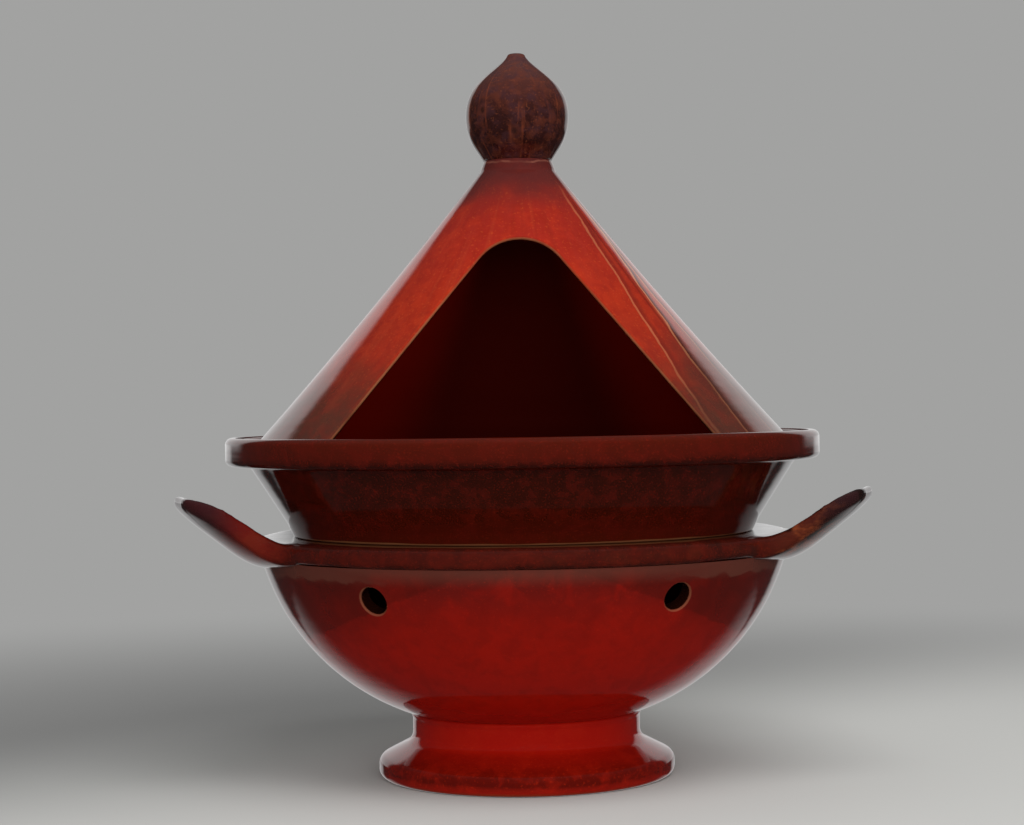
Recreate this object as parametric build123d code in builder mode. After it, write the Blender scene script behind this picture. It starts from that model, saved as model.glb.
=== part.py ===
from build123d import *
import os
from math import atan2, cos, degrees, hypot, radians, sin, sqrt, tan

# Glazed stoneware tagine on its brazier, in millimetres.
# The foot stands on Z = 0 and everything is turned about the Z axis.
# The doorway of the lid looks towards -Y and the two ears reach out along X.

# Foot: a thrown pedestal ring, hollow underneath
foot_height = 30.8
foot_radius = 70.0
foot_neck_inset = 1.0
foot_top_radius = 54.8
foot_top_flare = 3.0
foot_wall = 8.5
foot_inner_drop = 4.0
foot_bead_height = 9.3
foot_shelf_height = 17.6
foot_bead_round = 4.5
foot_cove_round = 6.5
foot_edge_round = 4.0
foot_base_round = 2.5
foot_inner_round = 3.0

# Brazier: one round belly on a floor slab, and on it a thick flat rim that turns inwards
bowl_height = 83.9
bowl_belly_inset = 28.4
bowl_belly_height = 27.5
bowl_wall = 6.5
bowl_floor = 9.0
bowl_floor_inset = 4.0
bowl_floor_round = 12.0
rim_shelf = 17.5
rim_thickness = 9.2
rim_overhang = 2.0
rim_top_round = 2.6
rim_under_round = 1.8
rim_inner_round = 2.0

# Air vents: bored square to the wall, two in front and two behind
vent_diameter = 13.0
vent_bevel = 0.9
vent_height = 60.2
vent_azimuth = 33.5

# Ears: cupped tongues drawn out of the rim and swept up, both turned to the front
ear_forward_turn = 17.5
ear_length = 39.2
ear_width = 52.0
ear_rise = 21.3
ear_edge_straight = 2.0
ear_root_bite = 4.0
ear_tip_round = 16.0
ear_edge_thickness = 6.4
ear_edge_round = 1.3
ear_seat_clearance = 2.5

# Cooking dish: flared wall, a banded rim and a gallery inside it for the lid
dish_height = 46.7
dish_flare = 31.5
dish_base_round = 1.5
dish_seat_width = 9.5
dish_foot_spread = 2.9
dish_foot_height = 6.1
dish_foot_round = 18.0
dish_wall = 7.0
dish_floor = 8.0
dish_floor_round = 14.0
dish_recess_radius = 92.0
dish_recess_depth = 1.5
band_radius = 140.0
band_height = 13.1
band_overhang = 11.0
band_under_round = 2.8
band_lip = 6.5
band_lip_flat = 0.3
gallery_depth = 8.0
gallery_width = 15.0
gallery_round = 1.8

# Lid: a tall, slightly flared cone with an arched doorway cut in its front
lid_height = 136.9
lid_clearance = 3.7
lid_wall = 7.0
lid_flare = 2.0
lid_neck_radius = 16.2
lid_shoulder_radius = 18.0
lid_shoulder_drop = 5.0
lid_crown_round = 9.0
door_width = 178.0
door_flank_angle = 38.9
door_arch_radius = 23.0
door_edge_round = 1.2

# Knob: an onion with a drawn-up point
knob_height = 51.3
knob_neck_lean = 60.0
knob_hip_radius = 22.0
knob_hip_height = 9.3
knob_radius = 24.4
knob_waist_height = 19.2
knob_shoulder_radius = 20.0
knob_shoulder_height = 35.2
knob_point_radius = 4.6
knob_point_drop = 1.5

# Levels and radii that follow from the sizes above
rim_top = foot_height + bowl_height
rim_under = rim_top - rim_thickness
foot_neck_radius = foot_top_radius - foot_neck_inset
dish_base_radius = band_radius - dish_flare
rim_radius = dish_base_radius + rim_shelf
rim_opening_radius = dish_base_radius - dish_seat_width
bowl_throat_radius = rim_radius - rim_overhang
bowl_belly_radius = rim_radius - bowl_belly_inset
ear_reach = rim_radius + ear_length
dish_foot_radius = dish_base_radius + dish_foot_spread
dish_throat_radius = band_radius - band_overhang
band_lip_round = (band_lip - band_lip_flat) / 2
band_top = rim_top + dish_height
band_under = band_top - band_height
gallery_level = band_top - gallery_depth
gallery_radius = band_radius - band_lip
gallery_inner_radius = gallery_radius - gallery_width
lid_radius = gallery_radius - lid_clearance
lid_top = gallery_level + lid_height


def shifted(arc, along, depth):
    """A point of an arc, moved away from the arc's centre by a depth."""
    point = arc @ along
    return point + (point - arc.arc_center).normalized() * depth


# Brazier foot
with BuildPart() as brazier_foot:
    with BuildSketch(Plane.XZ):
        with BuildLine():
            FilletPolyline(
                (foot_radius - foot_wall, 0),
                (foot_radius, 0),
                (foot_radius, foot_bead_height),
                (foot_neck_radius, foot_shelf_height),
                (foot_neck_radius, foot_height - foot_top_flare),
                (foot_top_radius, foot_height),
                (foot_neck_radius - foot_wall, foot_height),
                (foot_neck_radius - foot_wall, foot_shelf_height - foot_inner_drop),
                (foot_radius - foot_wall, foot_bead_height - foot_inner_drop),
                radius=(
                    foot_base_round,
                    foot_edge_round,
                    foot_bead_round,
                    foot_cove_round,
                    foot_top_flare,
                    0,
                    0,
                    foot_inner_round,
                    foot_inner_round,
                ),
                close=True,
            )
        make_face()
    revolve(axis=Axis.Z)
brazier_foot.part.label = "brazier_foot"

# Outside of the brazier, filled solid: the bowl and the ears are both cut to it
belly_arc = ThreePointArc(
    (foot_top_radius, foot_height),
    (bowl_belly_radius, foot_height + bowl_belly_height),
    (bowl_throat_radius, rim_under),
)
belly_centre = belly_arc.arc_center


def belly_radius_at(height, depth=0):
    """Radius of the belly at a height, on a surface some depth inside the outer one."""
    rise = height - belly_centre.Y
    return belly_centre.X + sqrt((belly_arc.radius - depth) ** 2 - rise**2)


with BuildSketch(Plane.XZ) as brazier_outline:
    with BuildLine():
        add(belly_arc)
        FilletPolyline(
            belly_arc @ 1,
            (rim_radius, rim_under),
            (rim_radius, rim_top),
            (0, rim_top),
            (0, foot_height),
            belly_arc @ 0,
            radius=(rim_under_round, rim_top_round, 0, 0),
        )
    make_face()

# Brazier floor: the slab that closes the hollow foot and carries the fire
bowl_floor_level = foot_height + bowl_floor
bowl_floor_radius = foot_neck_radius - bowl_floor_inset
with BuildPart() as brazier_floor:
    with BuildSketch(Plane.XY.offset(foot_height)):
        Circle(bowl_floor_radius)
    extrude(amount=bowl_floor)
brazier_floor.part.label = "brazier_floor"

# Brazier bowl: a thrown wall, open below round the floor slab
bowl_middle_level = (bowl_floor_level + rim_under) / 2
vent_level = foot_height + vent_height
vent_radius = belly_radius_at(vent_level)
vent_planes = []
for turn in (0, 180):
    for side in (-1, 1):
        azimuth = radians(turn + side * vent_azimuth)
        outward = Vector(sin(azimuth), -cos(azimuth), 0)
        square = outward * (vent_radius - belly_centre.X)
        square += Vector(0, 0, vent_level - belly_centre.Y)
        spot = outward * vent_radius + Vector(0, 0, vent_level)
        vent_planes.append(Plane(origin=spot, z_dir=square))

with BuildPart() as brazier_bowl:
    with BuildSketch(Plane.XZ) as bowl_section:
        with BuildLine():
            add(belly_arc)
            cavity_arc = ThreePointArc(
                (belly_radius_at(bowl_floor_level, bowl_wall), bowl_floor_level),
                (belly_radius_at(bowl_middle_level, bowl_wall), bowl_middle_level),
                (belly_radius_at(rim_under, bowl_wall), rim_under),
            )
            Line(belly_arc @ 1, cavity_arc @ 1)
            Polyline(
                cavity_arc @ 0,
                (bowl_floor_radius, bowl_floor_level),
                (bowl_floor_radius, foot_height),
                belly_arc @ 0,
            )
        make_face()
        floor_corner = bowl_section.vertices().sort_by_distance(cavity_arc @ 0)[0]
        fillet(floor_corner, radius=bowl_floor_round)
    revolve(axis=Axis.Z)
    with Locations(*vent_planes):
        CounterSinkHole(
            radius=vent_diameter / 2,
            counter_sink_radius=vent_diameter / 2 + vent_bevel,
            depth=bowl_wall + vent_diameter / 2,
        )
brazier_bowl.part.label = "brazier_bowl"

# Brazier rim
with BuildPart() as brazier_rim:
    with BuildSketch(Plane.XZ):
        with BuildLine():
            FilletPolyline(
                (rim_opening_radius, rim_under),
                (rim_radius, rim_under),
                (rim_radius, rim_top),
                (rim_opening_radius, rim_top),
                radius=(rim_inner_round, rim_under_round, rim_top_round, rim_inner_round),
                close=True,
            )
        make_face()
    revolve(axis=Axis.Z)
brazier_rim.part.label = "brazier_rim"

# Ear, lofted along X through cross-sections that stand across the reach.
# Each station holds the distance beyond the rim as a share of the ear's length, the half
# width as a share of its width, three heights above the rim top as shares of its rise (of
# the edges, of the cupped middle and of the belly underneath) and the edge's thickness as a
# share of the size above.
ear_stations = (
    (-0.612, 1.231, -0.222, -0.272, -0.730, 1.33),
    (-0.235, 0.962, -0.052, -0.094, -0.550, 1.45),
    (0.141, 0.692, 0.187, 0.045, -0.515, 1.10),
    (0.471, 0.577, 0.580, 0.333, -0.107, 0.97),
    (0.753, 0.538, 0.907, 0.705, 0.302, 1.00),
    (1.035, 0.519, 1.170, 1.080, 0.830, 0.75),
)
# The flare is the arc that touches the root's circle and the straight run of the ear's edge.
ear_root_radius = dish_base_radius + ear_seat_clearance
ear_root_reach = rim_radius - ear_root_bite
tip_reach = ear_reach - ear_tip_round
flare_reach = tip_reach - ear_edge_straight
flare_radius = (flare_reach**2 + ear_width**2 / 4 - ear_root_reach**2) / (2 * ear_root_reach - ear_width)
flare_centre = Vector(flare_reach, ear_width / 2 + flare_radius)
flare_share = ear_root_reach / (ear_root_reach + flare_radius)
flare_turn = degrees(atan2(flare_centre.Y, flare_centre.X))
tip_centre = Vector(tip_reach, ear_width / 2 - ear_tip_round)
with BuildPart() as ear_tongue:
    for reach_share, width_share, edge_share, middle_share, belly_share, thickening in ear_stations:
        half_width = width_share * ear_width
        edge_level = rim_top + edge_share * ear_rise
        edge_under = edge_level - thickening * ear_edge_thickness
        with BuildSketch(Plane.YZ.offset(rim_radius + reach_share * ear_length)):
            with BuildLine():
                top = ThreePointArc(
                    (-half_width, edge_level),
                    (0, rim_top + middle_share * ear_rise),
                    (half_width, edge_level),
                )
                under = ThreePointArc(
                    (half_width, edge_under),
                    (0, rim_top + belly_share * ear_rise),
                    (-half_width, edge_under),
                )
                Line(top @ 1, under @ 0)
                Line(under @ 1, top @ 0)
            make_face()
    loft()
    with BuildSketch() as ear_plan:
        with BuildLine():
            CenterArc(flare_centre, flare_radius, 180 + flare_turn, 90 - flare_turn)
            Line((flare_reach, ear_width / 2), (tip_reach, ear_width / 2))
            CenterArc(tip_centre, ear_tip_round, 90, -90)
            Line(tip_centre + (ear_tip_round, 0), (ear_reach, 0))
            Line(flare_centre * flare_share, (0, 0))
            mirror(about=Plane.XZ)
        make_face()
        Circle(ear_root_radius, mode=Mode.SUBTRACT)
    extrude(amount=band_top, mode=Mode.INTERSECT)
    outline_edges = ear_tongue.edges().filter_by(GeomType.BSPLINE).filter_by(
        lambda edge: hypot((edge @ 0.5).X, (edge @ 0.5).Y) > ear_root_radius + ear_edge_round
    )
    fillet(outline_edges, radius=ear_edge_round)
    revolve(brazier_outline.sketch, axis=Axis.Z, mode=Mode.SUBTRACT)

with BuildPart() as right_ear_handle:
    add(ear_tongue.part, rotation=(0, 0, -ear_forward_turn))
right_ear_handle.part.label = "right_ear_handle"

with BuildPart() as left_ear_handle:
    mirror(right_ear_handle.part, about=Plane.YZ)
left_ear_handle.part.label = "left_ear_handle"

# Cooking dish
dish_slope = (dish_throat_radius - dish_foot_radius) / (band_under - rim_top - dish_foot_height)
dish_wall_across = dish_wall * sqrt(1 + dish_slope**2)


def dish_inner_radius_at(height):
    """Radius of the flared inner wall of the dish at a height."""
    return dish_foot_radius + (height - rim_top - dish_foot_height) * dish_slope - dish_wall_across


dish_floor_level = rim_top + dish_floor
gallery_root = rim_top + dish_foot_height
gallery_root += (gallery_inner_radius + dish_wall_across - dish_foot_radius) / dish_slope
with BuildPart() as tagine_dish:
    with BuildSketch(Plane.XZ):
        with BuildLine():
            FilletPolyline(
                (0, rim_top + dish_recess_depth),
                (dish_recess_radius - dish_recess_depth, rim_top + dish_recess_depth),
                (dish_recess_radius, rim_top),
                (dish_base_radius, rim_top),
                (dish_foot_radius, rim_top + dish_foot_height),
                (dish_throat_radius, band_under),
                (band_radius, band_under),
                (band_radius, band_top),
                (gallery_radius, band_top),
                (gallery_radius, gallery_level),
                (gallery_inner_radius, gallery_level),
                (gallery_inner_radius, gallery_root),
                (dish_inner_radius_at(dish_floor_level), dish_floor_level),
                (0, dish_floor_level),
                radius=(
                    0,
                    0,
                    0,
                    dish_base_round,
                    dish_foot_round,
                    band_under_round,
                    band_under_round,
                    band_lip_round,
                    band_lip_round,
                    gallery_round,
                    gallery_round,
                    gallery_round,
                    dish_floor_round,
                    0,
                ),
                close=True,
            )
        make_face()
    revolve(axis=Axis.Z)
tagine_dish.part.label = "tagine_dish"

# Lid cone, with the doorway cut straight through its front wall
door_peak = door_width / 2 / tan(radians(door_flank_angle))
with BuildPart() as lid_cone:
    with BuildSketch(Plane.XZ) as lid_outline:
        with BuildLine():
            chord_middle = Vector(
                (lid_radius + lid_shoulder_radius) / 2,
                (gallery_level + lid_top - lid_shoulder_drop) / 2,
            )
            flank = ThreePointArc(
                (lid_radius, gallery_level),
                chord_middle - (lid_flare, 0),
                (lid_shoulder_radius, lid_top - lid_shoulder_drop),
            )
            Polyline(
                flank @ 1,
                (lid_neck_radius, lid_top),
                (0, lid_top),
                (0, gallery_level),
                flank @ 0,
            )
        make_face()
        fillet(lid_outline.vertices().sort_by_distance(flank @ 1)[0], radius=lid_shoulder_drop)
    revolve(axis=Axis.Z)
    with BuildSketch(Plane.XZ) as lid_cavity:
        with BuildLine():
            inner_flank = ThreePointArc(
                shifted(flank, 0, lid_wall),
                shifted(flank, 0.5, lid_wall),
                shifted(flank, 1, lid_wall),
            )
            Polyline(
                inner_flank @ 1,
                (0, (inner_flank @ 1).Y),
                (0, (inner_flank @ 0).Y),
                inner_flank @ 0,
            )
        make_face()
        fillet(lid_cavity.vertices().sort_by_distance(inner_flank @ 1)[0], radius=lid_crown_round)
    revolve(axis=Axis.Z, mode=Mode.SUBTRACT)
    with BuildSketch(Plane.XZ):
        with BuildLine():
            FilletPolyline(
                (-door_width / 2, gallery_level - lid_wall),
                (-door_width / 2, gallery_level),
                (0, gallery_level + door_peak),
                (door_width / 2, gallery_level),
                (door_width / 2, gallery_level - lid_wall),
                radius=(0, 0, door_arch_radius, 0, 0),
                close=True,
            )
        make_face()
    extrude(amount=lid_radius, mode=Mode.SUBTRACT)
    doorway_edges = lid_cone.edges(Select.LAST).filter_by(GeomType.BSPLINE).filter_by(
        lambda edge: (edge @ 0.5).Z > gallery_level + lid_wall
    )
    fillet(doorway_edges, radius=door_edge_round)
lid_cone.part.label = "lid_cone"

# Lid knob
neck_lean = (cos(radians(knob_neck_lean)), sin(radians(knob_neck_lean)))
with BuildPart() as lid_knob:
    with BuildSketch(Plane.XZ):
        with BuildLine():
            onion = Spline(
                (lid_neck_radius, lid_top),
                (knob_hip_radius, lid_top + knob_hip_height),
                (knob_radius, lid_top + knob_waist_height),
                (knob_shoulder_radius, lid_top + knob_shoulder_height),
                (knob_point_radius, lid_top + knob_height - knob_point_drop),
                (0, lid_top + knob_height),
                tangents=(neck_lean, (-1, 0)),
            )
            Polyline(onion @ 1, (0, lid_top), onion @ 0)
        make_face()
    revolve(axis=Axis.Z)
lid_knob.part.label = "lid_knob"

os.makedirs("parts", exist_ok=True)
export_step(brazier_foot.part, "parts/brazier_foot.step")
export_step(brazier_floor.part, "parts/brazier_floor.step")
export_step(brazier_bowl.part, "parts/brazier_bowl.step")
export_step(brazier_rim.part, "parts/brazier_rim.step")
export_step(right_ear_handle.part, "parts/right_ear_handle.step")
export_step(left_ear_handle.part, "parts/left_ear_handle.step")
export_step(tagine_dish.part, "parts/tagine_dish.step")
export_step(lid_cone.part, "parts/lid_cone.step")
export_step(lid_knob.part, "parts/lid_knob.step")
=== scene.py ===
from math import atan, copysign, cos, pi, radians, sin, tan

import bmesh
import bpy
from mathutils import Matrix, Vector


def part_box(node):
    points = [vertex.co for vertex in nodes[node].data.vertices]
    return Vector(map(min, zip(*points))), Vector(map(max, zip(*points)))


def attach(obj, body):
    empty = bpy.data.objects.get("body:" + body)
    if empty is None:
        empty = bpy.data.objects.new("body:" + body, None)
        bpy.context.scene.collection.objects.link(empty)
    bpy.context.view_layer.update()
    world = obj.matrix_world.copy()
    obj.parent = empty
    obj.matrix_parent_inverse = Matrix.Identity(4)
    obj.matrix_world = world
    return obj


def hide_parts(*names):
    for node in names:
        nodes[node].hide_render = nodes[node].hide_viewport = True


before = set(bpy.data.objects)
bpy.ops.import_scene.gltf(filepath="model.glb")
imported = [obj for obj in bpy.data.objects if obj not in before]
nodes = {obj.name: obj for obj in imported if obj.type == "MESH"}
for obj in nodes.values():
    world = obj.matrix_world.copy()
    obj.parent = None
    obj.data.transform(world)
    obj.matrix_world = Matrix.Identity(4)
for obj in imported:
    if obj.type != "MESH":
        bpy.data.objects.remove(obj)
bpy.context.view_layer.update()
scene = bpy.context.scene

# Glazed stoneware tagine on its brazier, in metres. Z is up, the lid's doorway looks
# towards -Y and the ears reach out towards +X and -X, both turned a little to the front.

MM = 0.001

# ---- photograph's camera

IMAGE_WIDTH, IMAGE_HEIGHT = 1024, 825
FOCAL_PIXELS = 2200
HORIZON_ROW = 405
SENSOR = 36.0
CAMERA_PLACE = (-0.0045, -1.0456, 0.1748)
CAMERA_ROLL = radians(0.9)

lens = bpy.data.cameras.new("photo_camera")
lens.sensor_fit = "HORIZONTAL"
lens.sensor_width = SENSOR
lens.lens = SENSOR * FOCAL_PIXELS / IMAGE_WIDTH
lens.clip_start = 0.01
camera = bpy.data.objects.new("photo_camera", lens)
camera.location = CAMERA_PLACE
tilt = atan((IMAGE_HEIGHT / 2 - HORIZON_ROW) / FOCAL_PIXELS)
camera.rotation_euler = (pi / 2 - tilt, CAMERA_ROLL, 0)
scene.collection.objects.link(camera)
scene.camera = camera
scene.view_settings.view_transform = "Standard"


# ---- node trees

def linear(hex_colour):
    """An sRGB hex colour as linear red, green, blue and alpha."""
    channels = [int(hex_colour[i:i + 2], 16) / 255 for i in (1, 3, 5)]
    return [c / 12.92 if c <= 0.04045 else ((c + 0.055) / 1.055) ** 2.4 for c in channels] + [1.0]


class Graph:
    """The node tree of a material or of the world, and the sums that fill it."""

    def __init__(self, owner):
        owner.use_nodes = True
        self.tree = owner.node_tree
        self.tree.nodes.clear()

    def add(self, kind, inputs=None, **settings):
        """Adds a node, with its settings, and its inputs as values or links."""
        node = self.tree.nodes.new(kind)
        for name, value in settings.items():
            setattr(node, name, value)
        for name, value in (inputs or {}).items():
            if isinstance(value, bpy.types.NodeSocket):
                self.tree.links.new(value, node.inputs[name])
            else:
                node.inputs[name].default_value = value
        return node

    def math(self, operation, first, second=0.0, third=0.0):
        inputs = {0: first, 1: second, 2: third}
        return self.add("ShaderNodeMath", inputs, operation=operation).outputs[0]

    def times(self, *values):
        """The product of several values."""
        product = values[0]
        for value in values[1:]:
            product = self.math("MULTIPLY", product, value)
        return product

    def vector(self, operation, *values):
        node = self.add("ShaderNodeVectorMath", dict(enumerate(values)), operation=operation)
        return node.outputs["Value" if operation in ("LENGTH", "DOT_PRODUCT") else "Vector"]

    def axes(self, vector):
        """The x, y and z of a vector."""
        return tuple(self.add("ShaderNodeSeparateXYZ", {0: vector}).outputs)

    def span(self, value, low, high, to_low=0.0, to_high=1.0, smooth=True):
        """A value's place between two limits, as 0 to 1, eased at both ends."""
        return self.add("ShaderNodeMapRange", {
            "Value": value, "From Min": low, "From Max": high,
            "To Min": to_low, "To Max": to_high,
        }, interpolation_type="SMOOTHSTEP" if smooth else "LINEAR").outputs[0]

    def rise(self, value, level, start, end):
        """0 to 1 from one height above a level to another; heights below it are negative."""
        return self.span(value, level + start, level + end)

    def ramp(self, factor, stops):
        """A colour ramp over a factor, with its stops as (place, hex colour)."""
        ramp = self.add("ShaderNodeValToRGB", {"Fac": factor})
        elements = ramp.color_ramp.elements
        while len(elements) < len(stops):
            elements.new(0.5)
        for element, (place, colour) in zip(elements, stops):
            element.position = place
            element.color = linear(colour)
        return ramp.outputs["Color"]

    def blend(self, factor, first, second):
        """Mixes two colours, each a hex string or a socket."""
        first = linear(first) if isinstance(first, str) else first
        second = linear(second) if isinstance(second, str) else second
        # Of the node's sockets, 6 and 7 are the two colours and 2 is the mixed one.
        mix = self.add("ShaderNodeMix", {0: factor, 6: first, 7: second}, data_type="RGBA")
        return mix.outputs[2]

    def mix_shaders(self, factor, first, second):
        return self.add("ShaderNodeMixShader", {0: factor, 1: first, 2: second}).outputs[0]


# ---- glazes: high-fired stoneware, dipped in a copper-red and iron glaze that ran, pooled
# and mottled in the kiln. It is glass over a coloured body, so it is smooth and mirrors
# the room.

GLASS_IOR = 1.5
GLASS_ROUGHNESS = 0.07

# Relief under the glaze: finger ridges of the throwing run round the wall, the wall
# between them is a little uneven, and the glaze has a faint orange peel.
RELIEF = 0.12 * MM
RIDGE_PITCH = 5 * MM
RIDGE_SQUASH = (0.04, 0.04, 1)
UNEVEN_SIZE = 26 * MM
UNEVEN_SHARE = 1.8
PEEL_SIZE = 1.4 * MM
PEEL_SHARE = 0.10

BORDER_DRIFT_SIZE = 28 * MM
CLOUD_NOISE = (0.42, 0.66)
CLOUD_LOOK = {"detail": 4.0, "roughness": 0.62, "distortion": 0.4}
GRAIN_EASE = 0.12
GRAIN_LOOK = {"detail": 1.5, "shift": (3.0, 1.0, 2.0)}


class Surface(Graph):
    """One glaze: its colour so far, and the places on the piece that its patterns read."""

    def __init__(self, name):
        self.material = bpy.data.materials.new(name)
        super().__init__(self.material)
        self.colour = None
        self.place = self.add("ShaderNodeTexCoord").outputs["Object"]
        self.x, self.y, self.z = self.axes(self.place)
        flat = self.add("ShaderNodeCombineXYZ", {"X": self.x, "Y": self.y}).outputs[0]
        self.radius = self.vector("LENGTH", flat)
        self.around = self.vector("NORMALIZE", flat)

    def aside(self):
        """How far a place lies to either side: 0 in front and behind, 1 in line with X."""
        return self.math("ABSOLUTE", self.axes(self.around)[0])

    def noise(self, size, detail=2.0, roughness=0.5, distortion=0.0, squash=(1, 1, 1),
              shift=(0, 0, 0), vector=None):
        """Noise whose blobs are about a size in metres, squashed along the axes."""
        mapped = self.add("ShaderNodeMapping", {
            "Vector": vector or self.place, "Scale": squash, "Location": shift})
        return self.add("ShaderNodeTexNoise", {
            "Vector": mapped.outputs[0], "Scale": 1 / size, "Detail": detail,
            "Roughness": roughness, "Distortion": distortion}).outputs["Fac"]

    def drift(self, size, **settings):
        """Noise that swings about zero."""
        return self.math("SUBTRACT", self.noise(size, **settings), 0.5)

    def wavering(self, value, depth, size, **settings):
        """A value that noise of a size raises by up to a depth."""
        return self.math("MULTIPLY_ADD", self.noise(size, **settings), depth, value)

    def runs(self, width, at_radius, shift=0.0, stretch=0.05):
        """Noise drawn out down the wall: runs of a width at a radius, in metres."""
        down = self.add("ShaderNodeCombineXYZ", {"Z": self.times(self.z, stretch)}).outputs[0]
        drawn = self.vector("MULTIPLY_ADD", self.around, (at_radius, at_radius, 0), down)
        return self.noise(width, vector=drawn, shift=(shift, 0, 0))

    def paint(self, mask, tint, amount=1.0):
        """Lays a tint over the colour so far, by an amount where the mask is 1."""
        self.colour = self.blend(self.times(mask, amount), self.colour, tint)

    def fire(self, height, depth):
        """Closes the tree as a coat of glass in the colour so far, over a relief."""
        relief = self.add("ShaderNodeBump", {"Height": height, "Distance": depth, "Strength": 1.0})
        shader = self.add("ShaderNodeBsdfPrincipled", {
            "Base Color": self.colour, "Roughness": GLASS_ROUGHNESS, "IOR": GLASS_IOR,
            "Normal": relief.outputs[0]})
        self.add("ShaderNodeOutputMaterial", {"Surface": shader.outputs[0]})
        return self.material


def glazed(name, low, high, heights, mottle, speckle, finish=None, waver=4 * MM):
    """A copper-red and iron glaze between two heights.

    heights are its colours up the wall as (share, hex), and their borders rise and fall by
    waver; mottle is (size, hex, amount, shift) for soft clouds; speckle is (size, hex,
    amount, threshold) for fine grains; finish paints what this piece alone has.
    """
    surface = Surface(name)
    drift = surface.drift(BORDER_DRIFT_SIZE, detail=3.0)
    level = surface.math("MULTIPLY_ADD", drift, 2 * waver, surface.z)
    surface.colour = surface.ramp(surface.span(level, low, high, smooth=False), heights)
    for size, tint, amount, shift in mottle:
        cloud = surface.noise(size, shift=(shift, 0, 0), **CLOUD_LOOK)
        surface.paint(surface.span(cloud, *CLOUD_NOISE), tint, amount)
    for size, tint, amount, threshold in speckle:
        grain = surface.noise(size, **GRAIN_LOOK)
        surface.paint(surface.span(grain, threshold, threshold + GRAIN_EASE), tint, amount)
    if finish:
        finish(surface)
    ridges = surface.noise(RIDGE_PITCH, detail=1.0, squash=RIDGE_SQUASH)
    peel = surface.noise(PEEL_SIZE, detail=1.0)
    uneven = surface.noise(UNEVEN_SIZE, detail=1.0, shift=(0, 6.0, 0))
    fine = surface.math("MULTIPLY_ADD", peel, PEEL_SHARE, ridges)
    return surface.fire(surface.math("MULTIPLY_ADD", uneven, UNEVEN_SHARE, fine), RELIEF)


# Levels of the pieces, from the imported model
foot_low, foot_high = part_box("brazier_foot")
bowl_low, bowl_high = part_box("brazier_bowl")
rim_low, rim_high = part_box("brazier_rim")
dish_low, dish_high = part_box("tagine_dish")
cone_low, cone_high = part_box("lid_cone")
knob_low, knob_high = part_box("lid_knob")

# ---- brazier: the finishes of bowl and ears. Where a constant is a pair, it is the two
# places between which a pattern fades in: RISE for heights above a piece's end, NOISE for
# the noise, ASIDE for 0 in front to 1 at the side.

VENT_CENTRE = (0.0657, 0.0993, 0.0910)
VENT_AXIS = (0.5086, 0.7684, -0.3886)
VENT_RADIUS = 6.5 * MM
# Off the vent's wall, and outwards from the face of the bowl
BORE_SHADE_OFF, BORE_SHADE_OUT = (0.9 * MM, 0.3 * MM), (-0.6 * MM, -1.4 * MM)
LIP_OFF, LIP_OUT = (0.85 * MM, 0.45 * MM), (-1.4 * MM, -0.7 * MM)

# Painted shade on the bowl's upper sides, below the ears
SIDE_SHADE_SIZE, SIDE_SHADE_SWAY = 30 * MM, 0.5
SIDE_SHADE_ASIDE, SIDE_SHADE_RISE = (0.72, 1.05), (-48 * MM, -12 * MM)
# A painted dark reflection below each ear, with a border that rises to the front
DARK_REFLECTION_MIDDLE, DARK_REFLECTION_SLOPE = 0.62, 47 * MM
DARK_REFLECTION_WAVER, DARK_REFLECTION_WAVER_SIZE = 4 * MM, 9 * MM
DARK_REFLECTION_RISE = (-20.5 * MM, -18.9 * MM)
# A painted pale reflection under the rim, reaching lower on the sides
PALE_REFLECTION_RISE = (-9 * MM, 0.0)
SIDE_PALE_REFLECTION_WAVER, SIDE_PALE_REFLECTION_WAVER_SIZE = 9 * MM, 14 * MM
SIDE_PALE_REFLECTION_ASIDE, SIDE_PALE_REFLECTION_RISE = (0.3, 0.75), (-3.0 * MM, -1.2 * MM)

EAR_RADII = (124 * MM, 136 * MM)
TIP_RADII = (138 * MM, 158 * MM)
LEFT_TO_RIGHT = (-0.10, 0.10)
RUST_SIZE, RUST_SQUASH, RUST_NOISE = 7 * MM, (0.6, 1, 1), (0.44, 0.62)
RUST_LEFT, RUST_MORE_AT_RIGHT = 0.12, 0.55
# Dark streaks of painted shadow on the right ear
EAR_SHADOW_SIZE, EAR_SHADOW_SQUASH, EAR_SHADOW_NOISE = 6 * MM, (0.35, 1, 1), (0.50, 0.66)


def vent_edges(surface):
    """The glaze runs off the cut edge of the air vents and leaves an amber line there; inside the
    vents the wall is painted dark as painted shade.
    """
    # The four vents mirror each other, so one place stands for all of them.
    away = surface.vector("SUBTRACT", surface.vector("ABSOLUTE", surface.place), VENT_CENTRE)
    out = surface.vector("DOT_PRODUCT", away, VENT_AXIS)
    reach = surface.vector("LENGTH", away)
    off = surface.math("SQRT", surface.math(
        "SUBTRACT", surface.times(reach, reach), surface.times(out, out)))
    # Painted shade on the wall inside the vents, and the amber lip on their edge
    bore_shade = surface.times(surface.rise(off, VENT_RADIUS, *BORE_SHADE_OFF), surface.span(out, *BORE_SHADE_OUT))
    lip = surface.times(surface.rise(off, VENT_RADIUS, *LIP_OFF), surface.span(out, *LIP_OUT))
    surface.paint(bore_shade, "#1c0804")
    surface.paint(lip, "#7c4a34", 0.62)


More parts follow.
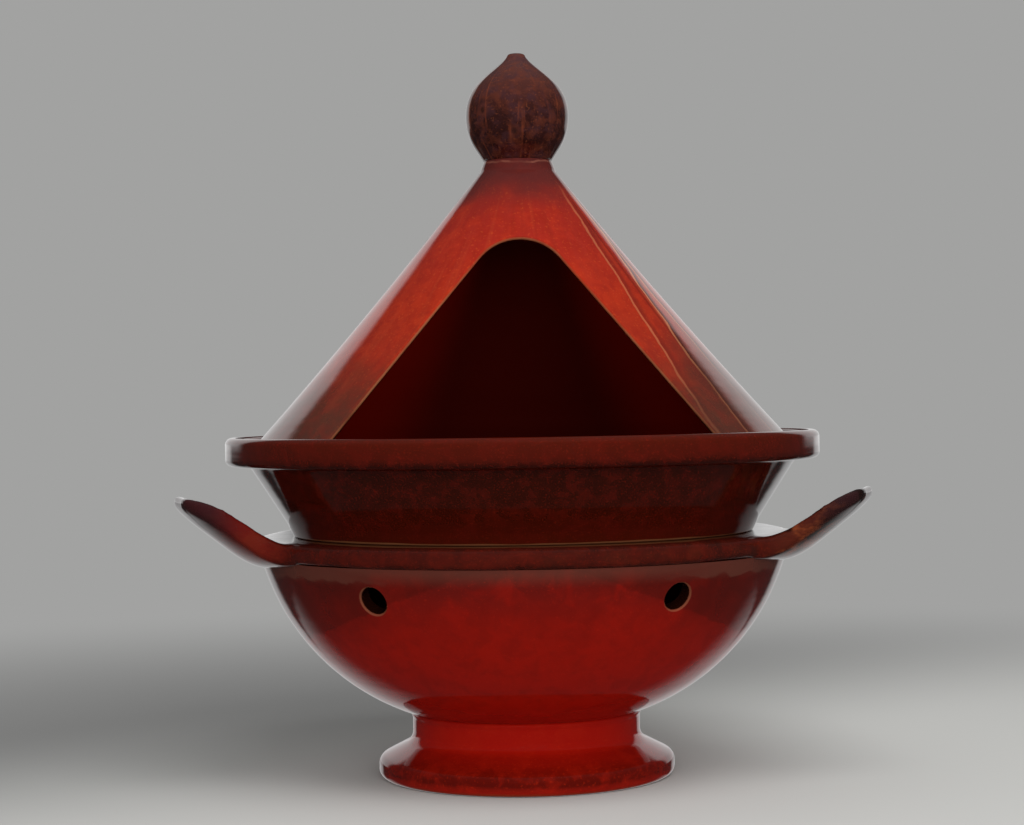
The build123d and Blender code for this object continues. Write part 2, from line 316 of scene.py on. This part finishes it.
def bowl_finish(surface):
    """Painted shade in brown clouds and a painted dark reflection high on both sides, a painted
    pale reflection under the rim, and the vents' edges with painted shade inside them.
    """
    aside = surface.aside()
    # Painted shade: brown clouds high on both sides, below the ears
    swaying = surface.wavering(aside, SIDE_SHADE_SWAY, SIDE_SHADE_SIZE, shift=(9.0, 0, 0))
    clouds = surface.times(surface.span(swaying, *SIDE_SHADE_ASIDE),
                           surface.rise(surface.z, bowl_high.z, *SIDE_SHADE_RISE))
    surface.paint(clouds, "#330e09", 0.5)
    # A painted dark reflection below each ear ends on both sides in a line that rises to the
    # front.
    slope = surface.math("SUBTRACT", aside, DARK_REFLECTION_MIDDLE)
    border = surface.math("MULTIPLY_ADD", slope, DARK_REFLECTION_SLOPE, surface.z)
    border = surface.wavering(border, DARK_REFLECTION_WAVER, DARK_REFLECTION_WAVER_SIZE, shift=(0, 2.0, 0))
    surface.paint(surface.rise(border, bowl_high.z, *DARK_REFLECTION_RISE), "#3a0c07", 0.42)
    # A painted pale reflection under the rim, reaching lower on the sides
    level = surface.wavering(surface.z, SIDE_PALE_REFLECTION_WAVER, SIDE_PALE_REFLECTION_WAVER_SIZE,
                             detail=3.0, shift=(0, 0, 4.0))
    side_pale_reflection = surface.times(surface.rise(level, bowl_high.z, *SIDE_PALE_REFLECTION_RISE),
                              surface.span(aside, *SIDE_PALE_REFLECTION_ASIDE))
    pale_reflection = surface.math("MAXIMUM", surface.rise(surface.z, bowl_high.z, *PALE_REFLECTION_RISE), side_pale_reflection)
    surface.paint(pale_reflection, "#5a3228", 0.7)
    vent_edges(surface)


def ear_finish(surface):
    """The ears: purple-brown at the tips; the right one rusty and streaked with dark painted
    shadow.
    """
    ear = surface.span(surface.radius, *EAR_RADII)
    right = surface.span(surface.x, *LEFT_TO_RIGHT)
    surface.paint(ear, surface.blend(right, "#60140f", "#4a1c12"), 0.85)
    rust = surface.noise(RUST_SIZE, detail=4.0, roughness=0.65, squash=RUST_SQUASH)
    rusty = surface.times(surface.math("MULTIPLY_ADD", right, RUST_MORE_AT_RIGHT, RUST_LEFT), ear)
    surface.paint(surface.times(surface.span(rust, *RUST_NOISE), rusty), "#7a3a1e")
    surface.paint(surface.span(surface.radius, *TIP_RADII), "#1d1418", 0.8)
    # Painted shadow: dark streaks on the right ear
    shadow_streaks = surface.noise(EAR_SHADOW_SIZE, squash=EAR_SHADOW_SQUASH, shift=(5.0, 0, 0))
    surface.paint(surface.times(surface.span(shadow_streaks, *EAR_SHADOW_NOISE), ear, right), "#1a0c0a")


# ---- dish and knob: their finishes

CLAY_RISE = (1.9 * MM, 1.4 * MM)
CLAY_WAVER, CLAY_WAVER_SIZE = 1.6 * MM, 45 * MM

SPOT_SPACING = 17 * MM
SPOT_REACH, HALO_REACH = (2.6 * MM, 1.0 * MM), (4.2 * MM, 1.8 * MM)
KNOB_RUN = {"width": 4 * MM, "at_radius": 24 * MM, "shift": 3.0, "stretch": 0.1}
KNOB_RUN_NOISE = (0.6, 0.74)


def dish_finish(surface):
    """Bare toasted clay on the base ring, which was wiped clean for the kiln shelf."""
    wiped = surface.wavering(surface.z, CLAY_WAVER, CLAY_WAVER_SIZE, shift=(1.0, 4.0, 0))
    surface.paint(surface.rise(wiped, dish_low.z, *CLAY_RISE), "#7c4c30")


def knob_finish(surface):
    """Soft iron spots in a faint rusty halo, and rusty runs."""
    cells = surface.add("ShaderNodeTexVoronoi", {
        "Vector": surface.place, "Scale": 1 / SPOT_SPACING, "Randomness": 1.0}, feature="F1")
    near = surface.times(cells.outputs["Distance"], SPOT_SPACING)
    surface.paint(surface.span(near, *HALO_REACH), "#7c3a20", 0.16)
    surface.paint(surface.span(near, *SPOT_REACH), "#1c0d0a", 0.7)
    surface.paint(surface.span(surface.runs(**KNOB_RUN), *KNOB_RUN_NOISE), "#7a3a22", 0.6)


# ---- cone: its shape, as the solids have it, and its finish

CONE_TOP_RADIUS = 18.0 * MM
CONE_FLANK_HEIGHT = 131.9 * MM
CONE_FLARE = 2.0 * MM
DOOR_HALF_WIDTH = 89.0 * MM
DOOR_FLANK = radians(38.9)
DOOR_ARCH = 23.0 * MM

RUN_RISE = (-6 * MM, -30 * MM)
RUNS_TOWARDS = (0.88, -0.47, 0.0)
RUNS_WITHIN = (0.955, 0.985)
# Fine runs, all round and on the side of the long ones, each tint as (shift, hex, amount)
ALL_ROUND_RUNS = {
    "width": 3.4 * MM, "at_radius": 40 * MM, "stretch": 0.05, "limits": (0.54, 0.74),
    "tints": ((0.0, "#6a1a0c", 0.14), (7.0, "#b8502a", 0.10), (15.0, "#8a2a20", 0.14))}
SIDE_RUNS = {
    "width": 2.8 * MM, "at_radius": 60 * MM, "stretch": 0.02, "limits": (0.54, 0.68),
    "tints": ((21.0, "#a0603e", 0.22), (33.0, "#3c0e08", 0.35))}
# Each long run as its angle from the front at the foot, that at the top, and an amount
LONG_RUNS = ((radians(44), radians(52), 0.4), (radians(54), radians(72), 0.85),
             (radians(67), radians(66), 0.7))
RUN_SWAY, RUN_SWAY_SIZE = 8 * MM, 24 * MM
RUN_TAN_REACH = (1.1 * MM, 0.4 * MM)
RUN_DARK_START, RUN_DARK_END = (0.5 * MM, 1.6 * MM), (6 * MM, 2 * MM)

BROWN_TOP_RISE = (-24 * MM, -1 * MM)
BROWN_FOOT_RISE = (58 * MM, 18 * MM)
BROWN_WAVER, BROWN_WAVER_SIZE = 12 * MM, 14 * MM
BROWN_SINKS = -16 * MM
JOINT_HEIGHT = 0.6 * MM
JOINT_REACH = (0.6 * MM, 0.2 * MM)
JOINT_WAVER, JOINT_WAVER_SIZE = 4 * MM, 11 * MM
# A line's strength over noise: its size, the noise where it is faintest and strongest, and
# how strong it is at each
JOINT_BREAKS = (9 * MM, (0.42, 0.58, 0.1, 0.36))
EDGE_BREAKS = (22 * MM, (0.3, 0.6, 0.25, 0.8))
EDGE_OUTER, EDGE_INNER = (1.3 * MM, 0.4 * MM), (-1.0 * MM, 0.2 * MM)
INSIDE_DEPTHS = (4.0 * MM, 7.0 * MM)
# Painted light on the inside's side walls, painted shade at its back
INSIDE_LIT_ASIDE = (0.35, 0.95)


def flank_share(surface):
    """0 at the foot of the cone's flank and 1 at its top."""
    return surface.math("DIVIDE", surface.math("SUBTRACT", surface.z, cone_low.z),
                        CONE_FLANK_HEIGHT)


def broken(surface, breaks, shift):
    """The strength of a line that comes and goes."""
    size, limits = breaks
    return surface.span(surface.noise(size, shift=(shift, 0, 0)), *limits)


def fine_runs(surface, where, width, at_radius, stretch, limits, tints):
    """Thin runs of several tints down the flank."""
    for shift, tint, amount in tints:
        run = surface.runs(width, at_radius, shift=shift, stretch=stretch)
        surface.paint(surface.times(surface.span(run, *limits), where), tint, amount)


def long_runs(surface, where):
    """The longest runs: a thin tan line with a dark one beside it."""
    angle = surface.math("ARCTAN2", surface.x, surface.times(surface.y, -1.0))
    climb = flank_share(surface)
    lean = surface.times(climb, climb)
    sway = surface.times(surface.drift(RUN_SWAY_SIZE, detail=3.0, shift=(8.0, 0, 0)), RUN_SWAY)
    for foot_angle, top_angle, amount in LONG_RUNS:
        line = surface.math("MULTIPLY_ADD", lean, top_angle - foot_angle, foot_angle)
        off = surface.math("MULTIPLY_ADD", surface.math("SUBTRACT", angle, line),
                           surface.radius, sway)
        dark = surface.times(surface.span(off, *RUN_DARK_START), surface.span(off, *RUN_DARK_END))
        bright = surface.span(surface.math("ABSOLUTE", off), *RUN_TAN_REACH)
        surface.paint(surface.times(dark, where), "#3e1410", amount)
        surface.paint(surface.times(bright, where), "#b8754e", amount)


def thick_glaze(surface, side):
    """Thick glaze is brown under the knob and down the last of the flank."""
    level = surface.math("MULTIPLY_ADD", side, BROWN_SINKS, surface.z)
    level = surface.wavering(level, BROWN_WAVER, BROWN_WAVER_SIZE)
    surface.paint(surface.rise(level, cone_high.z, *BROWN_TOP_RISE), "#4a1c1a", 0.86)
    surface.paint(surface.rise(level, cone_low.z, *BROWN_FOOT_RISE), "#46241c", 0.72)


def joint_line(surface):
    """A thin broken line, a little paler than the glaze, at the joint under the knob."""
    joint = surface.wavering(surface.z, JOINT_WAVER, JOINT_WAVER_SIZE, shift=(6.0, 0, 0))
    near = surface.math("ABSOLUTE", surface.math("SUBTRACT", joint, cone_high.z + JOINT_HEIGHT))
    surface.paint(surface.span(near, *JOINT_REACH), "#98604e", broken(surface, JOINT_BREAKS, 4.0))


def doorway_distance(surface):
    """How far a place on the front wall lies outside the doorway's outline."""
    width = surface.math("ABSOLUTE", surface.x)
    peak = cone_low.z + DOOR_HALF_WIDTH / tan(DOOR_FLANK)
    below = surface.math("SUBTRACT", peak, surface.z)
    flank = surface.math("SUBTRACT", surface.times(width, cos(DOOR_FLANK)),
                         surface.times(below, sin(DOOR_FLANK)))
    centre = peak - DOOR_ARCH / sin(DOOR_FLANK)
    up = surface.math("SUBTRACT", surface.z, centre)
    reach = surface.math("SQRT", surface.math(
        "ADD", surface.times(width, width), surface.times(up, up)))
    arch = surface.math("SUBTRACT", reach, DOOR_ARCH)
    in_arch = surface.math("GREATER_THAN", up, DOOR_ARCH * sin(DOOR_FLANK))
    return surface.math("ADD", surface.times(in_arch, arch),
                        surface.times(surface.math("SUBTRACT", 1.0, in_arch), flank))


def doorway_edge(surface):
    """Amber where the glaze runs thin on the doorway's edge, more in some places."""
    off = doorway_distance(surface)
    front = surface.math("LESS_THAN", surface.y, 0.0)
    edge = surface.times(front, surface.span(off, *EDGE_OUTER), surface.span(off, *EDGE_INNER))
    surface.paint(edge, "#9c6040", broken(surface, EDGE_BREAKS, 2.0))


def inside_coat(surface):
    """The inside took one thin dark coat of the same glaze; its side walls are painted a brighter
    red as painted light, and its back darker as painted shade.
    """
    share = flank_share(surface)
    sag = surface.times(share, surface.math("SUBTRACT", 1.0, share), 4 * CONE_FLARE)
    straight = surface.math("MULTIPLY_ADD", share, CONE_TOP_RADIUS - cone_high.x, cone_high.x)
    outer = surface.math("SUBTRACT", straight, sag)
    inside = surface.span(surface.math("SUBTRACT", outer, surface.radius), *INSIDE_DEPTHS)
    # Painted light on the side walls inside, painted shade at the back
    lit_sides = surface.span(surface.aside(), *INSIDE_LIT_ASIDE)
    surface.paint(inside, surface.blend(lit_sides, "#480b06", "#a01608"))


def cone_finish(surface):
    """Runs down the flank, brown at its top and foot, its lines, and its dark inside with painted
    light and shade.
    """
    low = surface.rise(surface.z, cone_high.z, *RUN_RISE)
    # A few more runs of thin and of thick glaze stand together on the right of the front.
    facing = surface.vector("DOT_PRODUCT", surface.around, RUNS_TOWARDS)
    side = surface.times(surface.span(facing, *RUNS_WITHIN), low)
    fine_runs(surface, low, **ALL_ROUND_RUNS)
    fine_runs(surface, side, **SIDE_RUNS)
    long_runs(surface, low)
    thick_glaze(surface, side)
    joint_line(surface)
    doorway_edge(surface)
    inside_coat(surface)


# ---- shapes: round pieces turned again from the solids' own sections, and one skin over
# rim and ears, which were drawn out of the soft rim without a seam

WELD = 0.002 * MM
RING_STEP = 3 * MM
SECTION_TURN = 0.013
TURN_STEPS = 240

RIM_PARTS = ("brazier_rim", "left_ear_handle", "right_ear_handle")
SKIN_VOXEL = 1.1 * MM
SKIN_OVERLAP = 0.8 * MM
SKIN_ROUNDS = 5
ROOT_RADII = (0.117, 0.137)
ROOT_ASIDE = 0.075
ROOT_BACK = 0.03
ROOT_ROUNDS = 14
TIP_RADIUS = 0.150
TIP_ROUNDS = 14
EAR_REACH = 36 * MM
EAR_LIFT = 2.6 * MM


def dress(node, material):
    """Gives a CAD mesh that is kept as it is its material."""
    data = nodes[node].data
    data.materials.clear()
    data.materials.append(material)


def thrown(part, body, material):
    """A round CAD node turned again from its own section, in even rings."""
    mesh = bmesh.new()
    mesh.from_mesh(nodes[part].data)
    mesh.transform(Matrix.Rotation(SECTION_TURN, 4, "Z") @ nodes[part].matrix_world)
    bmesh.ops.remove_doubles(mesh, verts=mesh.verts, dist=WELD)
    # Only the section is left: the edges in the plane of X and Z with X above zero.
    bmesh.ops.bisect_plane(mesh, geom=mesh.verts[:] + mesh.edges[:] + mesh.faces[:],
                           plane_co=(0, 0, 0), plane_no=(0, 1, 0),
                           clear_inner=True, clear_outer=True)
    bmesh.ops.bisect_plane(mesh, geom=mesh.verts[:] + mesh.edges[:],
                           plane_co=(0, 0, 0), plane_no=(1, 0, 0), clear_inner=True)
    bmesh.ops.remove_doubles(mesh, verts=mesh.verts, dist=5 * WELD)
    for edge in [e for e in mesh.edges if e.calc_length() > 2 * RING_STEP]:
        cuts = int(edge.calc_length() / RING_STEP)
        bmesh.ops.subdivide_edges(mesh, edges=[edge], cuts=cuts)
    bmesh.ops.spin(mesh, geom=mesh.verts[:] + mesh.edges[:], cent=(0, 0, 0), axis=(0, 0, 1),
                   angle=2 * pi, steps=TURN_STEPS, use_merge=True)
    bmesh.ops.remove_doubles(mesh, verts=mesh.verts, dist=WELD)
    bmesh.ops.recalc_face_normals(mesh, faces=mesh.faces)
    for face in mesh.faces:
        face.smooth = True
    data = bpy.data.meshes.new(part + "_thrown")
    mesh.to_mesh(data)
    mesh.free()
    data.materials.append(material)
    piece = bpy.data.objects.new(part + "_thrown", data)
    scene.collection.objects.link(piece)
    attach(piece, body)
    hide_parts(part)


def fused(name, parts, voxel, overlap):
    """One skin over copies of several CAD meshes, each side one moved in by an overlap."""
    shell = bmesh.new()
    for part in parts:
        copy = nodes[part].data.copy()
        copy.transform(nodes[part].matrix_world)
        low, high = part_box(part)
        if abs(low.x + high.x) > voxel:
            copy.transform(Matrix.Translation((-copysign(overlap, low.x + high.x), 0, 0)))
        shell.from_mesh(copy)
        bpy.data.meshes.remove(copy)
    data = bpy.data.meshes.new(name)
    shell.to_mesh(data)
    shell.free()
    piece = bpy.data.objects.new(name, data)
    scene.collection.objects.link(piece)
    remesh = piece.modifiers.new("skin", "REMESH")
    remesh.mode = "VOXEL"
    remesh.voxel_size = voxel
    depsgraph = bpy.context.evaluated_depsgraph_get()
    skin = bpy.data.meshes.new_from_object(piece.evaluated_get(depsgraph))
    piece.modifiers.clear()
    piece.data = skin
    return piece


def smoothed(mesh, verts, rounds):
    for _ in range(rounds):
        bmesh.ops.smooth_vert(mesh, verts=verts, factor=0.5,
                              use_axis_x=True, use_axis_y=True, use_axis_z=True)


def at_root(place):
    """Whether a place lies where an ear leaves the rim."""
    low, high = ROOT_RADII
    return low < place.xy.length < high and abs(place.x) > ROOT_ASIDE and place.y < ROOT_BACK


def shape_rim(data):
    """Smooths the skin, most at the ears' roots and tips, and lifts the left ear."""
    mesh = bmesh.new()
    mesh.from_mesh(data)
    smoothed(mesh, mesh.verts, SKIN_ROUNDS)
    smoothed(mesh, [v for v in mesh.verts if at_root(v.co)], ROOT_ROUNDS)
    smoothed(mesh, [v for v in mesh.verts if v.co.xy.length > TIP_RADIUS], TIP_ROUNDS)
    # The left ear's upper edge runs straighter from root to tip than the right one's.
    mesh.normal_update()
    for vert in mesh.verts:
        reach = (vert.co.xy.length - rim_high.x) / EAR_REACH
        if 0 < reach < 1 and vert.co.x < 0:
            vert.co.z += EAR_LIFT * sin(pi * reach) * max(vert.normal.z, 0.0) ** 0.5
    for face in mesh.faces:
        face.smooth = True
    mesh.to_mesh(data)
    mesh.free()


# ---- pieces

thrown("brazier_foot", "brazier", glazed(
    "glazed_stoneware_foot", foot_low.z, foot_high.z,
    [(0.0, "#8a3a1c"), (0.06, "#8e1408"), (0.16, "#560a04"), (0.3, "#5c0b04"),
     (0.44, "#861006"), (0.62, "#9c1006"), (1.0, "#960e05")],
    mottle=[(9 * MM, "#a01808", 0.35, 0.0)], speckle=[(1.1 * MM, "#b8280c", 0.25, 0.60)],
    waver=1.0 * MM))

bowl_glaze = glazed(
    "glazed_stoneware_bowl", bowl_low.z, bowl_high.z,
    [(0.0, "#7e0c05"), (0.15, "#8c0f06"), (0.5, "#861006"), (0.72, "#761008"),
     (0.9, "#5c110c"), (1.0, "#50120e")],
    mottle=[(16 * MM, "#8e1207", 0.45, 0.0), (8 * MM, "#5c0d08", 0.25, 5.0)],
    speckle=[(1.0 * MM, "#a82410", 0.22, 0.62)], finish=bowl_finish)
dress("brazier_bowl", bowl_glaze)
dress("brazier_floor", bowl_glaze)

rim = fused("rim_with_ears", RIM_PARTS, SKIN_VOXEL, SKIN_OVERLAP)
shape_rim(rim.data)
rim.data.materials.clear()
rim.data.materials.append(glazed(
    "glazed_stoneware_rim", rim_low.z, rim_high.z,
    [(0.0, "#2a0a05"), (0.25, "#3c0e07"), (0.7, "#40100a"), (1.0, "#36110b")],
    mottle=[(6 * MM, "#54130a", 0.5, 0.0), (11 * MM, "#260e0a", 0.5, 4.0)],
    speckle=[(0.8 * MM, "#7a2010", 0.22, 0.58)], finish=ear_finish))
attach(rim, "brazier")
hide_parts(*RIM_PARTS)

thrown("tagine_dish", "dish", glazed(
    "glazed_stoneware_dish", dish_low.z, dish_high.z,
    [(0.0, "#481206"), (0.12, "#420e05"), (0.3, "#320a03"), (0.66, "#2c0a04"),
     (0.74, "#260804"), (0.82, "#420e06"), (1.0, "#461207")],
    mottle=[(7 * MM, "#541008", 0.4, 0.0)], speckle=[(0.8 * MM, "#842010", 0.2, 0.58)],
    finish=dish_finish, waver=0.8 * MM))

dress("lid_cone", glazed(
    "glazed_stoneware_cone", cone_low.z, cone_high.z,
    [(0.0, "#4c2c24"), (0.10, "#58301f"), (0.20, "#6e2614"), (0.34, "#8a2412"),
     (0.5, "#9a260f"), (0.7, "#902014"), (0.84, "#861e14"), (0.92, "#6c221c"),
     (1.0, "#4a1e18")],
    mottle=[(12 * MM, "#a82c12", 0.4, 0.0), (7 * MM, "#841a0e", 0.5, 4.0)],
    speckle=[(1.2 * MM, "#c05022", 0.24, 0.60)], finish=cone_finish, waver=6 * MM))

# The knob's glaze grows paler and greyer towards its tip; at the tip this is partly a painted
# reflection of the ceiling.
thrown("lid_knob", "lid", glazed(
    "glazed_stoneware_knob", knob_low.z, knob_high.z,
    [(0.0, "#340f0a"), (0.15, "#260d0b"), (0.4, "#2c1412"), (0.7, "#44221d"),
     (1.0, "#4c2e2c")],
    mottle=[(7 * MM, "#3c2226", 0.6, 0.0), (5 * MM, "#5a2a1c", 0.5, 4.0)],
    speckle=[(1.1 * MM, "#7a4026", 0.3, 0.60)], finish=knob_finish))

# ---- studio: an even grey backdrop, a table that fades into it, and soft lamps

BACKDROP = "#a2a2a1"
WHITE = (1, 1, 1, 1)
ROOM_LIGHT = 0.50

# What the glaze mirrors: a dark room in front and at the sides, two pale wall panels behind
# at the left and right, and the pale table top reaching back from the object. Each limit is
# that of a direction's part aside, back or up.
ROOM_GREY = 0.035
CEILING_UP, CEILING_GREY = (0.3, 1.0), 0.06
PANEL_ASIDE, PANEL_BACK = (0.085, 0.115), (0.68, 0.78)
PANEL_BOTTOM, PANEL_TOP, PANEL_GREY = (-0.05, 0.02), (0.50, 0.42), 0.72
NEAR_TABLE_BACK, NEAR_TABLE_UP, NEAR_TABLE_GREY = (0.60, 0.90), (-0.32, -0.36), 0.47
FAR_TABLE_BACK, FAR_TABLE_UP, FAR_TABLE_GREY = (0.84, 0.90), (0.02, -0.02), 0.55

TABLE_HALF = 12.0
TABLE_PALE, TABLE_GREY = "#c5c5c2", "#7e7e7d"
TABLE_LEAN = -0.9
# Painted shade on the table, darker towards the back left
TABLE_SHADE = (-0.06, 0.42)
TABLE_FADE = (0.18, 0.9)
PAPER_ROUGHNESS = 0.9


def build_world():
    """What lights the pieces, what their glaze mirrors and what the camera sees behind."""
    world = bpy.data.worlds.new("studio")
    scene.world = world
    room = Graph(world)
    direction = room.add("ShaderNodeTexCoord").outputs["Generated"]
    right, back, up = room.axes(direction)
    panels = room.times(
        room.span(room.math("ABSOLUTE", right), *PANEL_ASIDE), room.span(back, *PANEL_BACK),
        room.span(up, *PANEL_BOTTOM), room.span(up, *PANEL_TOP))
    near_table = room.times(room.span(back, *NEAR_TABLE_BACK), room.span(up, *NEAR_TABLE_UP))
    far_table = room.times(room.span(back, *FAR_TABLE_BACK), room.span(up, *FAR_TABLE_UP))
    table_seen = room.math("MAXIMUM", room.times(near_table, NEAR_TABLE_GREY),
                           room.times(far_table, FAR_TABLE_GREY))
    ceiling = room.math("ADD", room.times(room.span(up, *CEILING_UP), CEILING_GREY), ROOM_GREY)
    mirrored = room.math("MULTIPLY_ADD", panels, PANEL_GREY,
                         room.math("ADD", table_seen, ceiling))
    lit, mirror, backdrop = (
        room.add("ShaderNodeBackground", {"Color": colour, "Strength": strength}).outputs[0]
        for colour, strength in ((WHITE, ROOM_LIGHT), (WHITE, mirrored), (linear(BACKDROP), 1.0)))
    path = room.add("ShaderNodeLightPath").outputs
    unseen = room.mix_shaders(path["Is Glossy Ray"], lit, mirror)
    seen = room.mix_shaders(path["Is Camera Ray"], unseen, backdrop)
    room.add("ShaderNodeOutputWorld", {"Surface": seen})


def paper_material():
    """Matt paper, painted darker towards the back left as painted shade, that turns into the
    backdrop's grey away from the object.
    """
    material = bpy.data.materials.new("matt_paper")
    paper = Graph(material)
    place = paper.add("ShaderNodeTexCoord").outputs["Object"]
    x, y, _ = paper.axes(place)
    # Painted shade: the paper darkens towards the back left
    shade = paper.span(paper.math("MULTIPLY_ADD", x, TABLE_LEAN, y), *TABLE_SHADE)
    matt = paper.add("ShaderNodeBsdfPrincipled", {
        "Base Color": paper.blend(shade, TABLE_PALE, TABLE_GREY),
        "Roughness": PAPER_ROUGHNESS, "Specular IOR Level": 0.0})
    sweep = paper.add("ShaderNodeEmission", {"Color": linear(BACKDROP), "Strength": 1.0})
    by_camera = paper.add("ShaderNodeLightPath").outputs["Is Camera Ray"]
    faded = paper.times(paper.span(paper.vector("LENGTH", place), *TABLE_FADE), by_camera)
    top = paper.mix_shaders(faded, matt.outputs[0], sweep.outputs[0])
    # A camera below the table looks through it.
    below = paper.times(paper.add("ShaderNodeNewGeometry").outputs["Backfacing"], by_camera)
    clear = paper.add("ShaderNodeBsdfTransparent").outputs[0]
    paper.add("ShaderNodeOutputMaterial", {"Surface": paper.mix_shaders(below, top, clear)})
    return material


def build_table():
    """The table top, so wide that its edge is never seen."""
    mesh = bmesh.new()
    bmesh.ops.create_grid(mesh, x_segments=1, y_segments=1, size=TABLE_HALF)
    data = bpy.data.meshes.new("table_top")
    mesh.to_mesh(data)
    mesh.free()
    data.materials.append(paper_material())
    table = bpy.data.objects.new("table_top", data)
    scene.collection.objects.link(table)
    table.visible_glossy = False


def softbox(name, place, aim, width, height, watts):
    """A soft lamp that the glaze does not mirror."""
    lamp = bpy.data.lights.new(name, "AREA")
    lamp.shape = "RECTANGLE"
    lamp.size = width
    lamp.size_y = height
    lamp.energy = watts
    holder = bpy.data.objects.new(name, lamp)
    holder.location = place
    holder.rotation_euler = (Vector(aim) - Vector(place)).to_track_quat("-Z", "Y").to_euler()
    holder.visible_glossy = False
    scene.collection.objects.link(holder)


build_world()
build_table()
softbox("key_softbox", place=(0.25, -0.9, 1.5), aim=(0, 0, 0.1), width=1.0, height=1.0, watts=15)
softbox("front_fill", place=(0.15, -2.2, 0.6), aim=(0, 0, 0.12), width=1.6, height=1.0, watts=26)
